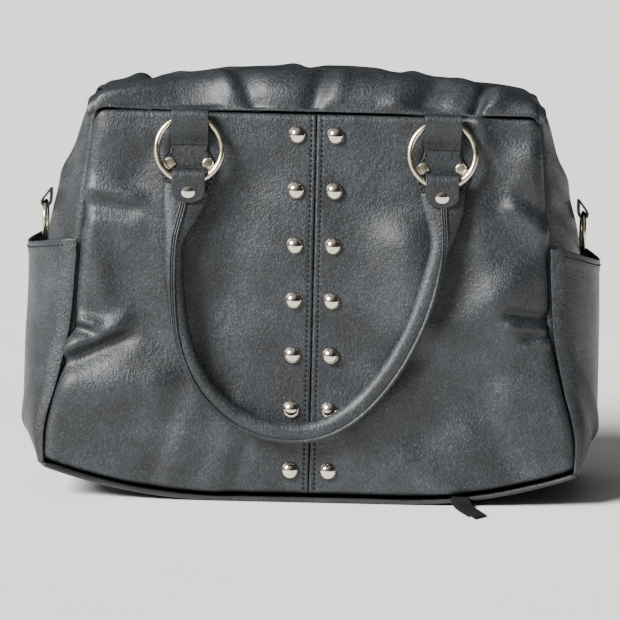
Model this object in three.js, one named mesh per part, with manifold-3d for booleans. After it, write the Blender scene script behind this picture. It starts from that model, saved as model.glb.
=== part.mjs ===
// A slouchy satchel-style diaper bag, standing on its base, in millimetres.
// +Z is up, +X is to the right of someone facing the front, and the front faces -Y.
// The origin is on the underside of the base, at its centre.

import * as THREE from 'three';
import { mergeVertices } from 'three/addons/utils/BufferGeometryUtils.js';
import Module from 'manifold-3d';

const wasm = await Module();
wasm.setup();

const { lerp, clamp, degToRad } = THREE.MathUtils;

// ---------------------------------------------------------------- driving dimensions

const LEATHER = 2.4; // thickness of a panel with its backing
const GAP = 0.35; // kept between pieces that touch
const TOP_SEAM_Z = 258; // seam between the front panel and the top
const BASE_DEPTH = 72; // half the bag's depth at the base
const TOP_DEPTH = 60; // half the bag's depth at the top seam
const BULGE = 6; // how far the middle of the front stands out
const CORNER_RADIUS = 14; // top corners of the front and back
const CORNER_LIFT = 20; // the soft base curls up this far at its ends
const FLAT_BASE = 60; // half the length of base that lies flat
const BASE_THICKNESS = 4.5;

const RIDGE_RISE = 30; // top of the rolled edge beside the zip, above the seam
const ZIP_DROP = 9; // the zip lies this far below that roll
const ZIP_ARC = 560; // the zip follows an arc of this radius along X
const FLAP_HALF_LENGTH = 144;

const STUD_COLUMN = 12.6; // each column of studs, from the centre seam
const STUD_TOP_Z = 243.5;
const STUD_PITCH = 36.2;
const STUD_LAST_PITCH = 41;
const STUDS_PER_COLUMN = 7;
const STUD_RADIUS = 5.9;
const STUD_HEIGHT = 4.2;

const RING_X = 83; // handle rings, from the centre seam
const RING_TOP_Z = 254.6; // height of the wire inside its loop, which is the ring's axis
const RING_STAND_OFF = 6; // that axis, in front of the panel
const RING_RADIUS = 21.5; // to the middle of the wire
const RING_WIRE = 2;
const RING_TILT = degToRad(11); // the ring hangs this far out, over the end of the handle
const PANEL_LEAN = degToRad(7.5); // lean of the front where the rings are
const SWEEP_CLEARANCE = 0.8; // between the wire and the leather that wraps it

const HANDLE_RADIUS = 5.8;
const HANDLE_TAB_HALF_WIDTH = 10.5;

const SIDE_RING_Z = 189.5;
const SIDE_RING_RADIUS = 12.5;
const SIDE_RING_WIRE = 1.5;
const SIDE_RING_STAND_OFF = 4.6;

const POCKET_TOP_Z = 172; // where the pocket's top edge meets the front and back seams
const POCKET_SAG = 10; // the middle of that edge hangs lower
const POCKET_FLOOR_Z = 27;
const POCKET_ROOM = 10;

// ---------------------------------------------------------------- materials

const paint = (color, roughness, metalness) => new THREE.MeshStandardMaterial({ color, roughness, metalness });
const slateLeather = () => paint(0x5f6367, 0.5, 0);
const polishedNickel = () => paint(0xc9c0b0, 0.12, 1);
const satinNickel = () => paint(0xbdb39c, 0.3, 1);
const liningCloth = () => paint(0x2c2d30, 0.9, 0);
const zipCloth = () => paint(0x1c1d1f, 0.85, 0);
const blackRibbon = () => paint(0x0b0b0a, 0.6, 0);

// ---------------------------------------------------------------- the shape of the body

// A smooth curve through [height, value] pairs.
function profile(points) {
  const slopeAt = (i) => {
    const before = points[Math.max(i - 1, 0)];
    const after = points[Math.min(i + 1, points.length - 1)];
    return (after[1] - before[1]) / (after[0] - before[0]);
  };
  return (height) => {
    let i = 0;
    while (i < points.length - 2 && height > points[i + 1][0]) i += 1;
    const [start, from] = points[i];
    const [end, to] = points[i + 1];
    const span = end - start;
    const t = clamp((height - start) / span, 0, 1);
    const bend = t * (1 - t) * span;
    return lerp(from, to, t * t * (3 - 2 * t)) + bend * ((1 - t) * slopeAt(i) - t * slopeAt(i + 1));
  };
}

// Half the width of the front panel, and of the side gussets that bulge past it.
const panelHalfWidth = profile([[0, 176], [45, 176.5], [80, 167], [115, 159], [150, 156], [205, 152], [258, 147]]);
const gussetHalfWidth = profile([[0, 171], [22, 177], [45, 182], [120, 181], [176, 179], [226, 170], [252, 160],
  [268, 147]]);
const halfDepth = (z) => lerp(BASE_DEPTH, TOP_DEPTH, z / TOP_SEAM_Z);
const arch = (q) => Math.cos(clamp(q, -1, 1) * Math.PI / 2); // 1 in the middle, 0 at both ends

// Underside of the base: flat in the middle, curling up towards the ends.
function baseHeight(x) {
  const reach = Math.max(Math.abs(x) - FLAT_BASE, 0) / (panelHalfWidth(0) - FLAT_BASE);
  return CORNER_LIFT * reach * reach;
}

// Top edge of the front and back panels, with rounded corners.
function topEdge(x) {
  const past = clamp(Math.abs(x) - (panelHalfWidth(TOP_SEAM_Z) - CORNER_RADIUS), 0, CORNER_RADIUS);
  return TOP_SEAM_Z - CORNER_RADIUS + Math.sqrt(CORNER_RADIUS ** 2 - past ** 2);
}

// A point on the outside of the front panel, or standing off it by some distance.
function onFront(x, z, standOff = 0) {
  const depthAt = (px, pz) => {
    const across = Math.min(Math.abs(px) / panelHalfWidth(pz), 1);
    const up = 2 * pz / TOP_SEAM_Z - 1;
    return -halfDepth(pz) - BULGE * (1 - across ** 2.5) * (1 - up * up);
  };
  const point = new THREE.Vector3(x, depthAt(x, z), z);
  return point.addScaledVector(frontNormal(x, z, depthAt), standOff);
}

function frontNormal(x, z, depthAt) {
  const acrossSlope = (depthAt(x + 1, z) - depthAt(x - 1, z)) / 2;
  const upSlope = (depthAt(x, z + 1) - depthAt(x, z - 1)) / 2;
  return new THREE.Vector3(acrossSlope, -1, upSlope).normalize();
}

// A point on the outside of the right gusset; q runs from -1 at the front seam to 1 at the back.
function onGusset(q, z, standOff = 0) {
  const swell = (gussetHalfWidth(z) - panelHalfWidth(Math.min(z, TOP_SEAM_Z))) * arch(q) ** 0.7;
  const inset = LEATHER + 2 * GAP;
  return new THREE.Vector3(panelHalfWidth(Math.min(z, TOP_SEAM_Z)) + swell + standOff, q * (halfDepth(z) - inset), z);
}

// ---------------------------------------------------------------- solids

// A closed sheet: point(u, v) is its outer face for u and v from 0 to 1, and it is thick inwards.
function sheet(point, columns, rows, thickness) {
  const outer = [];
  const inner = [];
  const step = 1e-3;
  for (let row = 0; row <= rows; row += 1) {
    for (let column = 0; column <= columns; column += 1) {
      const u = column / columns;
      const v = row / rows;
      const along = point(Math.min(u + step, 1), v).sub(point(Math.max(u - step, 0), v));
      const up = point(u, Math.min(v + step, 1)).sub(point(u, Math.max(v - step, 0)));
      const inward = along.cross(up).normalize().multiplyScalar(-thickness);
      outer.push(point(u, v));
      inner.push(point(u, v).add(inward));
    }
  }
  const positions = [...outer, ...inner].flatMap((p) => p.toArray());
  const width = columns + 1;
  const back = outer.length;
  const index = [];
  const quad = (a, b, c, d) => index.push(a, b, c, a, c, d);
  for (let row = 0; row < rows; row += 1) {
    for (let column = 0; column < columns; column += 1) {
      const a = row * width + column;
      quad(a, a + 1, a + width + 1, a + width);
      quad(back + a, back + a + width, back + a + width + 1, back + a + 1);
    }
  }
  for (let column = 0; column < columns; column += 1) {
    const top = rows * width + column;
    quad(column, back + column, back + column + 1, column + 1);
    quad(top, top + 1, back + top + 1, back + top);
  }
  for (let row = 0; row < rows; row += 1) {
    const left = row * width;
    const right = left + columns;
    quad(left, left + width, back + left + width, back + left);
    quad(right, back + right, back + right + width, right + width);
  }
  const geometry = new THREE.BufferGeometry();
  geometry.setAttribute('position', new THREE.Float32BufferAttribute(positions, 3));
  geometry.setIndex(index);
  return geometry;
}

// A closed solid through rings of points, one above the other.
function loft(rings) {
  const count = rings[0].length;
  const middle = (ring) => ring.reduce((sum, p) => sum.add(p), new THREE.Vector3()).divideScalar(count);
  const points = [...rings.flat(), middle(rings[0]), middle(rings.at(-1))];
  const bottom = points.length - 2;
  const top = points.length - 1;
  const index = [];
  for (let i = 0; i < count; i += 1) {
    const next = (i + 1) % count;
    for (let ring = 0; ring < rings.length - 1; ring += 1) {
      const low = ring * count;
      index.push(low + i, low + next, low + count + next, low + i, low + count + next, low + count + i);
    }
    const last = (rings.length - 1) * count;
    index.push(bottom, next, i, top, last + i, last + next);
  }
  const geometry = new THREE.BufferGeometry();
  geometry.setAttribute('position', new THREE.Float32BufferAttribute(points.flatMap((p) => p.toArray()), 3));
  geometry.setIndex(index);
  return geometry;
}

function toManifold(geometry) {
  const bare = geometry.clone();
  bare.deleteAttribute('normal');
  bare.deleteAttribute('uv');
  const merged = mergeVertices(bare, 1e-4);
  return new wasm.Manifold(new wasm.Mesh({
    numProp: 3,
    vertProperties: new Float32Array(merged.attributes.position.array),
    triVerts: new Uint32Array(merged.index.array),
  }));
}

function fromManifold(solid) {
  const { vertProperties, triVerts } = solid.getMesh();
  const geometry = new THREE.BufferGeometry();
  geometry.setAttribute('position', new THREE.BufferAttribute(vertProperties, 3));
  geometry.setIndex(new THREE.BufferAttribute(triVerts, 1));
  return geometry;
}

// A side outline, in the YZ plane, made into a plate that is centred on X.
function plateAcross(outline, width, curveSegments = 6) {
  const geometry = new THREE.ExtrudeGeometry(outline, { depth: width, bevelEnabled: false, curveSegments });
  geometry.translate(0, 0, -width / 2);
  geometry.rotateY(Math.PI / 2);
  geometry.rotateX(Math.PI / 2);
  return geometry;
}

// What a ring sweeps inside the leather that wraps it: a spindle about X.
function ringSweep(ringRadius, wire, halfWidth) {
  const end = halfWidth + 1;
  const stations = [-1, -0.6, -0.25, 0.25, 0.6, 1].map((s) => s * end);
  const reach = (x) => wire + SWEEP_CLEARANCE + ringRadius - Math.sqrt(ringRadius ** 2 - x ** 2);
  const outline = [new THREE.Vector2(0, -end), ...stations.map((x) => new THREE.Vector2(reach(x), x)),
    new THREE.Vector2(0, end)];
  return new THREE.LatheGeometry(outline, 14).rotateZ(Math.PI / 2);
}

// A dome with its flat back on the XZ plane, standing out towards -Y.
function dome(radius, height, brim, segments = 10) {
  const outline = [new THREE.Vector2(0, 0), new THREE.Vector2(radius, 0), new THREE.Vector2(radius, brim)];
  for (const turn of [25, 55]) {
    const angle = degToRad(turn);
    outline.push(new THREE.Vector2(radius * Math.cos(angle), brim + (height - brim) * Math.sin(angle)));
  }
  outline.push(new THREE.Vector2(0, height));
  return new THREE.LatheGeometry(outline, segments).rotateX(Math.PI);
}

// ---------------------------------------------------------------- assembly helpers

const bag = new THREE.Group();

function addMesh(parent, name, geometry, material) {
  const mesh = new THREE.Mesh(geometry, material);
  mesh.name = name;
  parent.add(mesh);
  return mesh;
}

// Stands a piece on the front panel with its back flat against it.
function seatOnFront(mesh, x, z, standOff) {
  const outward = onFront(x, z, 1).sub(onFront(x, z));
  mesh.position.copy(onFront(x, z, standOff));
  mesh.quaternion.setFromUnitVectors(new THREE.Vector3(0, -1, 0), outward.normalize());
}

// ---------------------------------------------------------------- body panels

// A panel between two places across the front; the edges are -1 and 1.
function frontSheet(from, to, columns) {
  return sheet((u, v) => {
    const spread = Math.sin(lerp(from, to, u) * Math.PI / 2);
    const across = spread * (1 - GAP / 100);
    const foot = baseHeight(across * panelHalfWidth(0)) + BASE_THICKNESS + 3 * GAP;
    const z = lerp(foot, topEdge(across * panelHalfWidth(TOP_SEAM_Z)), v);
    return onFront(across * panelHalfWidth(z), z);
  }, columns, 8, LEATHER);
}

function makePanels() {
  const seam = 0.0008;
  addMesh(bag, 'front_panel_left', frontSheet(-1, -seam, 6), slateLeather());
  addMesh(bag, 'front_panel_right', frontSheet(seam, 1, 6), slateLeather());
  const back = addMesh(bag, 'back_panel', frontSheet(-1, 1, 12), slateLeather());
  back.rotation.z = Math.PI;
}

function makeGusset(side) {
  const name = side > 0 ? 'side_gusset_right' : 'side_gusset_left';
  const geometry = sheet((u, v) => {
    const q = lerp(-1, 1, u);
    const foot = baseHeight(panelHalfWidth(0)) + BASE_THICKNESS + 2 * GAP;
    const top = lerp(TOP_SEAM_Z - CORNER_RADIUS, 267, arch(q) ** 0.8);
    return onGusset(q, lerp(foot, top, v));
  }, 6, 10, LEATHER);
  const mesh = addMesh(bag, name, geometry, slateLeather());
  mesh.rotation.z = side > 0 ? 0 : Math.PI;
}

function makePocket(side) {
  const name = side > 0 ? 'side_pocket_right' : 'side_pocket_left';
  const geometry = sheet((u, v) => {
    const q = lerp(-0.95, 0.95, u);
    const z = lerp(POCKET_FLOOR_Z, POCKET_TOP_Z - POCKET_SAG * arch(q), v);
    const opened = clamp((z - POCKET_FLOOR_Z) / 30, 0, 1);
    const pouch = POCKET_ROOM * arch(q / 0.95) ** 0.6 * Math.sin(opened * Math.PI / 2);
    return onGusset(q, z, LEATHER + 2 * GAP + pouch);
  }, 8, 6, LEATHER - 0.4);
  const mesh = addMesh(bag, name, geometry, slateLeather());
  mesh.rotation.z = side > 0 ? 0 : Math.PI;
}

function makeBase() {
  const halfLength = panelHalfWidth(0) + 1;
  const geometry = sheet((u, v) => {
    const x = lerp(-halfLength, halfLength, u);
    const y = lerp(BASE_DEPTH + 0.5, -BASE_DEPTH - 0.5, v);
    return new THREE.Vector3(x, y, baseHeight(x));
  }, 18, 2, BASE_THICKNESS);
  addMesh(bag, 'base_panel', geometry, slateLeather());
}

// An open-topped tub of cloth, a little inside the panels.
function makeLining() {
  const wallRing = (z, inset) => {
    const ring = [];
    const count = 24;
    for (let i = 0; i < count; i += 1) {
      const angle = i / count * Math.PI * 2;
      const squareness = 0.4;
      const cos = Math.cos(angle);
      const sin = Math.sin(angle);
      const x = Math.sign(cos) * Math.abs(cos) ** squareness * (panelHalfWidth(z) - inset);
      const y = Math.sign(sin) * Math.abs(sin) ** squareness * (halfDepth(z) - inset);
      ring.push(new THREE.Vector3(x, y, z));
    }
    return ring;
  };
  const floorRing = (rise, inset) => wallRing(0, inset).map((p) => p.setZ(baseHeight(p.x) + rise));
  const heights = [45, 100, 170];
  const rim = 244;
  const outside = [floorRing(BASE_THICKNESS + 1, 12), ...heights.map((z) => wallRing(z, 5.5)), wallRing(rim, 5.5)];
  const inside = [floorRing(BASE_THICKNESS + 2.5, 14), ...heights.map((z) => wallRing(z, 7)), wallRing(rim + 1, 7)];
  const tub = toManifold(loft(outside)).subtract(toManifold(loft(inside)));
  addMesh(bag, 'lining', fromManifold(tub), liningCloth());
}

// ---------------------------------------------------------------- zipped top

const zipFall = (x) => ZIP_ARC - Math.sqrt(ZIP_ARC ** 2 - x ** 2);
const zipHeight = TOP_SEAM_Z + RIDGE_RISE - ZIP_DROP;
const ZIP_TAPE_DROP = LEATHER + GAP;

// One half of the top: up from the seam, over a soft roll, and down to the zip.
function makeFlap(name, turn) {
  const geometry = sheet((u, v) => {
    const x = Math.sin(lerp(-1, 1, u) * Math.PI / 2) * FLAP_HALF_LENGTH;
    const ridge = TOP_SEAM_Z + RIDGE_RISE - zipFall(x);
    const depths = [TOP_DEPTH + 1, TOP_DEPTH - 8.8, 22, 6];
    const heights = [topEdge(x) + 2.6, ridge + 1, ridge + 8, ridge - ZIP_DROP];
    return new THREE.Vector3(x, -bezier(v, depths), bezier(v, heights));
  }, 14, 5, LEATHER);
  const mesh = addMesh(bag, name, geometry, slateLeather());
  mesh.rotation.z = turn;
}

function bezier(t, [a, b, c, d]) {
  const s = 1 - t;
  return a * s ** 3 + 3 * b * s * s * t + 3 * c * s * t * t + d * t ** 3;
}

// A strip along the zip's arc, from its section in the YZ plane.
function zipStrip(section, halfLength) {
  const steps = 14;
  const geometry = new THREE.ExtrudeGeometry(section, { depth: 2 * halfLength, steps, bevelEnabled: false });
  geometry.translate(0, 0, -halfLength);
  geometry.rotateY(Math.PI / 2);
  geometry.rotateX(Math.PI / 2);
  const position = geometry.attributes.position;
  for (let i = 0; i < position.count; i += 1) {
    position.setZ(i, position.getZ(i) + zipHeight - zipFall(position.getX(i)));
  }
  return geometry;
}

// Cloth tape with the row of teeth along its inner edge.
function makeZipTape(name, turn) {
  const section = new THREE.Shape();
  section.moveTo(-14, -ZIP_TAPE_DROP - 1);
  section.lineTo(-GAP / 2, -ZIP_TAPE_DROP - 1);
  section.lineTo(-GAP / 2, -0.8);
  section.lineTo(-3, -0.8);
  section.lineTo(-3.4, -ZIP_TAPE_DROP);
  section.lineTo(-14, -ZIP_TAPE_DROP);
  const mesh = addMesh(bag, name, zipStrip(section, 130), zipCloth());
  mesh.rotation.z = turn;
}

const ZIP_END_ANGLE = Math.asin(115 / ZIP_ARC); // the slider stops 115 mm either side of the middle
const SLIDER_WIDTH = 5.2; // it sits on the front row of teeth, so the back half of the top can open past it

function makeZipSlider() {
  const arm = new THREE.Group();
  arm.position.set(0, 0, zipHeight - ZIP_ARC);
  arm.rotation.y = -ZIP_END_ANGLE;
  bag.add(arm);
  const body = new THREE.Shape();
  body.moveTo(-6, 0);
  body.lineTo(6, 0);
  body.lineTo(6, 1.2);
  body.lineTo(2.5, 2.6);
  body.lineTo(-4.5, 2.6);
  body.lineTo(-6, 1.2);
  const slider = new THREE.ExtrudeGeometry(body, { depth: SLIDER_WIDTH, bevelEnabled: false });
  slider.rotateX(Math.PI / 2).translate(0, -GAP, ZIP_ARC - 0.4);
  addMesh(arm, 'zip_slider', slider, satinNickel());
  const pull = new THREE.Shape();
  pull.moveTo(0, -1.6);
  pull.lineTo(20, -2.3);
  pull.absarc(24, 0, SLIDER_WIDTH / 2, -degToRad(115), degToRad(115));
  pull.lineTo(0, 1.6);
  const hole = new THREE.Path();
  hole.absarc(24, 0, 1.2, 0, Math.PI * 2, true);
  pull.holes.push(hole);
  const plate = new THREE.ExtrudeGeometry(pull, { depth: 1.2, bevelEnabled: false, curveSegments: 5 });
  plate.translate(-2, -GAP - SLIDER_WIDTH / 2, ZIP_ARC + 2.6);
  addMesh(arm, 'zip_pull', plate, satinNickel());
}

// ---------------------------------------------------------------- studs, patches and loops

function makeStuds() {
  for (const [column, side] of [['left', -1], ['right', 1]]) {
    for (let row = 0; row < STUDS_PER_COLUMN; row += 1) {
      const lastRow = row === STUDS_PER_COLUMN - 1;
      const fall = lastRow ? (row - 1) * STUD_PITCH + STUD_LAST_PITCH : row * STUD_PITCH;
      const stud = addMesh(bag, `stud_${column}_${row + 1}`, dome(STUD_RADIUS, STUD_HEIGHT, 0.6), polishedNickel());
      seatOnFront(stud, side * STUD_COLUMN, STUD_TOP_Z - fall, GAP);
    }
  }
}

// A shield of leather that carries a ring loop: wide at its rivets, then down to a point.
function makePatch(owner, name, x) {
  const topZ = RING_TOP_Z - 1;
  const length = 71;
  const halfWidth = profile([[0, 12], [0.3, 13], [0.46, 18.5], [0.6, 16], [1, 1]]);
  const geometry = sheet((u, v) => {
    const z = topZ - length * (1 - v);
    return onFront(x + lerp(-1, 1, u) * halfWidth(1 - v), z, 2 + GAP);
  }, 2, 8, 2);
  addMesh(owner, name, geometry, slateLeather());
}

// Leather folded over a ring's wire. Its axis is at the origin and its back is towards +Y.
function loopTab({ ringRadius, wire, halfWidth, back, top, drop }) {
  const front = -(wire + SWEEP_CLEARANCE + ringRadius - Math.sqrt(ringRadius ** 2 - halfWidth ** 2) + 1.4);
  const side = new THREE.Shape();
  side.moveTo(back, -drop);
  side.lineTo(back, top);
  side.lineTo(front * 0.4, top);
  side.quadraticCurveTo(front, top, front, 0);
  side.lineTo(front, -wire * 2);
  side.lineTo(back - 3, -drop);
  const solid = toManifold(plateAcross(side, 2 * halfWidth, 4));
  return fromManifold(solid.subtract(toManifold(ringSweep(ringRadius, wire, halfWidth))));
}

function ringGeometry(radius, wire) {
  const ring = new THREE.TorusGeometry(radius, wire, 7, 20);
  ring.rotateX(Math.PI / 2);
  ring.translate(0, 0, -radius);
  return ring;
}

// ---------------------------------------------------------------- handles

// The middle of the handle: left end, round under the lowest stud but one, and up to the right end.
const HANDLE_ROUTE = [
  [-86, 196, 9.8], [-91, 172, 10.5], [-89.5, 140, 11], [-83.5, 107, 11.5], [-71, 81, 11.5], [-52, 62, 11.5],
  [-30, 52, 12], [-5, 50, 12], [15, 56, 12], [35, 71, 11.5], [53.5, 95, 11.5], [68, 124, 11], [78.5, 157, 10.5],
  [83.5, 180, 10], [84, 196, 9.8],
];

const ringAxis = (x) => {
  const { y } = onFront(x, RING_TOP_Z, RING_STAND_OFF);
  return new THREE.Vector3(x, y, RING_TOP_Z);
};

// Where the handle's end wraps the ring: the bottom of the tilted ring.
function handleAxis(x) {
  const down = new THREE.Vector3(0, -Math.sin(RING_TILT), -Math.cos(RING_TILT));
  return ringAxis(x).addScaledVector(down, 2 * RING_RADIUS);
}

// The handle's end tab reaches this far either side of its ring's wire, with leather around the ring's sweep.
const TAB_REACH = RING_WIRE + SWEEP_CLEARANCE + RING_RADIUS
  - Math.sqrt(RING_RADIUS ** 2 - HANDLE_TAB_HALF_WIDTH ** 2) + 1.3;

// The end of the handle: a folded tab, rounded over the ring's wire.
function handleTab() {
  const half = HANDLE_TAB_HALF_WIDTH;
  const tab = new THREE.Shape();
  tab.moveTo(-half, 0);
  tab.lineTo(half, 0);
  tab.lineTo(half, -9);
  tab.quadraticCurveTo(half * 0.9, -17, 0, -21);
  tab.quadraticCurveTo(-half * 0.9, -17, -half, -9);
  const flat = new THREE.ExtrudeGeometry(tab, { depth: 2 * TAB_REACH, bevelEnabled: false, curveSegments: 3 });
  flat.rotateX(Math.PI / 2).translate(0, TAB_REACH, 0).rotateX(-PANEL_LEAN);
  const fold = new THREE.CylinderGeometry(TAB_REACH, TAB_REACH, 2 * half, 16).rotateZ(Math.PI / 2);
  return toManifold(flat).add(toManifold(fold));
}

function makeHandleGeometry() {
  const route = new THREE.CatmullRomCurve3(HANDLE_ROUTE.map(([x, z, standOff]) => onFront(x, z, standOff)));
  const section = new THREE.Shape().absarc(0, 0, HANDLE_RADIUS, 0, Math.PI * 2);
  const tube = new THREE.ExtrudeGeometry(section, { steps: 36, extrudePath: route, curveSegments: 4 });
  let solid = toManifold(tube);
  for (const side of [-1, 1]) {
    const { x, y, z } = handleAxis(side * RING_X);
    const hollow = ringSweep(RING_RADIUS, RING_WIRE, HANDLE_TAB_HALF_WIDTH).translate(x, y, z);
    solid = solid.add(handleTab().translate([x, y, z])).subtract(toManifold(hollow));
  }
  return fromManifold(solid);
}

// One handle with its rings, loops, patches and rivets, built on the front.
function makeHandleSide(prefix, turn) {
  const owner = new THREE.Group();
  owner.rotation.z = turn;
  bag.add(owner);
  for (const [label, side] of [['left', -1], ['right', 1]]) {
    const x = side * RING_X;
    makePatch(owner, `${prefix}_patch_${label}`, x);
    const loop = loopTab({
      ringRadius: RING_RADIUS, wire: RING_WIRE, halfWidth: 11.5, back: RING_STAND_OFF - 2 - 2 * GAP, top: 4.5, drop: 19,
    });
    const loopMesh = addMesh(owner, `${prefix}_loop_${label}`, loop, slateLeather());
    loopMesh.position.copy(ringAxis(x));
    loopMesh.rotation.x = -PANEL_LEAN;
    const ring = addMesh(owner, `${prefix}_ring_${label}`, ringGeometry(RING_RADIUS, RING_WIRE), satinNickel());
    ring.position.copy(ringAxis(x));
    ring.rotation.x = -RING_TILT;
    for (const [end, offset] of [['a', -12.5], ['b', 12.5]]) {
      const rivet = addMesh(owner, `${prefix}_patch_rivet_${label}_${end}`, dome(4, 1.4, 0.5, 10), satinNickel());
      seatOnFront(rivet, x + offset, RING_TOP_Z - RING_RADIUS - 10, 2 + 2 * GAP);
    }
    const handleRivet = addMesh(owner, `${prefix}_handle_rivet_${label}`, dome(5.5, 2.6, 0.5), polishedNickel());
    const onTab = new THREE.Vector3(0, -TAB_REACH - GAP, -6.2).applyAxisAngle(new THREE.Vector3(1, 0, 0), -PANEL_LEAN);
    handleRivet.position.copy(handleAxis(x)).add(onTab);
    handleRivet.rotation.x = -PANEL_LEAN;
  }
  addMesh(owner, `${prefix}_handle`, makeHandleGeometry(), slateLeather());
}

// ---------------------------------------------------------------- sides and ribbon

function makeStrapRing(side) {
  const label = side > 0 ? 'right' : 'left';
  const owner = new THREE.Group();
  owner.rotation.z = side > 0 ? Math.PI / 2 : -Math.PI / 2;
  const wall = onGusset(0, SIDE_RING_Z).x;
  const anchor = new THREE.Group();
  anchor.position.set(0, -wall - SIDE_RING_STAND_OFF, SIDE_RING_Z);
  owner.add(anchor);
  bag.add(owner);
  const tab = loopTab({
    ringRadius: SIDE_RING_RADIUS, wire: SIDE_RING_WIRE, halfWidth: 6.5, back: SIDE_RING_STAND_OFF - 2.4, top: 3.4,
    drop: 9,
  });
  tab.rotateX(Math.PI).rotateZ(Math.PI);
  addMesh(anchor, `strap_tab_${label}`, tab, slateLeather());
  addMesh(anchor, `strap_ring_${label}`, ringGeometry(SIDE_RING_RADIUS, SIDE_RING_WIRE), satinNickel());
}

// A doubled black ribbon, sewn into the front base seam and lying forward on the floor.
function makeRibbon() {
  const rootX = 101;
  const halfWidth = 5.8;
  const geometry = sheet((u, v) => {
    const across = lerp(halfWidth, -halfWidth, u);
    const reach = 38 - 0.9 * across;
    const run = v * reach;
    const z = 2 + 4.5 * Math.exp(-run / 4);
    return new THREE.Vector3(rootX + across + run * 0.3, -BASE_DEPTH - 2.2 - run, z);
  }, 2, 10, 1.6);
  addMesh(bag, 'base_ribbon', geometry, blackRibbon());
}

// ---------------------------------------------------------------- the bag

makePanels();
makeBase();
makeLining();
for (const side of [-1, 1]) {
  makeGusset(side);
  makePocket(side);
  makeStrapRing(side);
}
makeFlap('top_flap_front', 0);
makeFlap('top_flap_back', Math.PI);
makeZipTape('zip_tape_front', 0);
makeZipTape('zip_tape_back', Math.PI);
makeZipSlider();
makeStuds();
makeHandleSide('front', 0);
makeHandleSide('back', Math.PI);
makeRibbon();

export default bag;
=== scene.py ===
# The finished look of a slouchy, studded leather diaper bag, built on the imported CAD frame.

import math

import bpy
import numpy as np
from mathutils import Matrix, Vector, noise


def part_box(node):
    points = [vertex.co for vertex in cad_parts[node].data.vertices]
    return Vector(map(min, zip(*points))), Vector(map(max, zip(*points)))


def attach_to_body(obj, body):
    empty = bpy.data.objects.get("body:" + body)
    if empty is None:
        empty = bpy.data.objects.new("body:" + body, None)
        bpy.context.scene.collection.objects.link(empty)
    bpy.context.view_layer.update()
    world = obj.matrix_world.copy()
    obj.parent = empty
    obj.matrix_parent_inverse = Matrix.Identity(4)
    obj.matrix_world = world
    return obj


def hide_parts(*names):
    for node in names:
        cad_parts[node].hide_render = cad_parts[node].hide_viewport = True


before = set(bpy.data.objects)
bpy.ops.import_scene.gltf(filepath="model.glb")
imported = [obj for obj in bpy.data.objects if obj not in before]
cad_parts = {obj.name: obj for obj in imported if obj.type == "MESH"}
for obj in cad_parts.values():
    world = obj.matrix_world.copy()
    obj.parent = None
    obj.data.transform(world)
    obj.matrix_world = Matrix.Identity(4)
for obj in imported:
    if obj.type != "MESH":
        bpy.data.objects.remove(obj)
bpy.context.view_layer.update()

MM = 0.001

# ---- driving dimensions, in metres

LEATHER = 2.4 * MM
GAP = 0.35 * MM
TOP_SEAM_Z = 258 * MM
BASE_DEPTH = 72 * MM
TOP_DEPTH = 60 * MM
BULGE = 6 * MM
CORNER_RADIUS = 8 * MM
CORNER_LIFT = 20 * MM
FLAT_BASE = 60 * MM
BASE_THICKNESS = 4.5 * MM

RIDGE_RISE = 30 * MM
ZIP_DROP = 9 * MM
ZIP_ARC = 560 * MM
ZIP_Z = TOP_SEAM_Z + RIDGE_RISE - ZIP_DROP

RING_TILT = math.radians(11)
PANEL_LEAN = math.radians(7.5)
RING_X = 83 * MM
RING_WIRE = 2 * MM  # half the thickness of the wire
STRAP_RING_WIRE = 1.5 * MM

STITCH_PITCH = 3.3 * MM
STITCH_LENGTH = 2.3 * MM
STITCH_WIDTH = 0.62 * MM
SEAM_TO_STITCH = 3.5 * MM

# Camera, lights and floor
VIEW_WIDTH = 409 * MM  # what the picture takes in, at the front of the bag
CAMERA_DISTANCE = 2.2
CAMERA_ELEVATION = math.radians(8)
CAMERA_ROLL = math.radians(1.3)
CAMERA_TARGET = (-1.65 * MM, -68 * MM, 128.6 * MM)
SENSOR = 36.0  # mm
FLOOR_REACH = 12.0
KEY_FROM = (-1.35, -1.1, 1.2)
KEY_SIZE = math.radians(24)
KEY_STRENGTH = 10.5
WINDOW_FROM = (-0.55, -0.35, 0.75)  # the brightest part of the sky
SKY_STRENGTH = 0.45

# ---- small numeric helpers


def smooth(t):
    t = np.clip(t, 0.0, 1.0)
    return t * t * (3 - 2 * t)


def lerp(a, b, t):
    return a + (b - a) * t


def smooth_through(at, values, position):
    """Catmull-Rom interpolation of values known at some places, held level beyond the first and last."""
    before = np.maximum(np.arange(len(at)) - 1, 0)
    after = np.minimum(np.arange(len(at)) + 1, len(at) - 1)
    slope = (values[after] - values[before]) / (at[after] - at[before])
    i = np.clip(np.searchsorted(at, position, side="right") - 1, 0, len(at) - 2)
    span = at[i + 1] - at[i]
    t = np.clip((position - at[i]) / span, 0, 1)
    bend = t * (1 - t) * span
    return lerp(values[i], values[i + 1], smooth(t)) + bend * ((1 - t) * slope[i] - t * slope[i + 1])


def profile(points):
    """A smooth curve through (position, value) pairs given in millimetres."""
    at, values = np.array(points, float).T * MM

    def curve(position):
        return smooth_through(at, values, position)

    return curve


def wavy(points, size, seed):
    """Smooth noise from -1 to 1 at an array of points; size is the length of one wave."""
    flat = np.asarray(points, float).reshape(-1, 3) / size + seed * 7.31
    values = [noise.noise(Vector(p)) for p in flat]
    return np.array(values).reshape(np.asarray(points).shape[:-1])


def hump(value, middle, width):
    return np.exp(-((value - middle) / width) ** 2)


def arch(q):
    return np.cos(np.clip(q, -1, 1) * math.pi / 2)


# ---- the shape of the body

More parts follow.
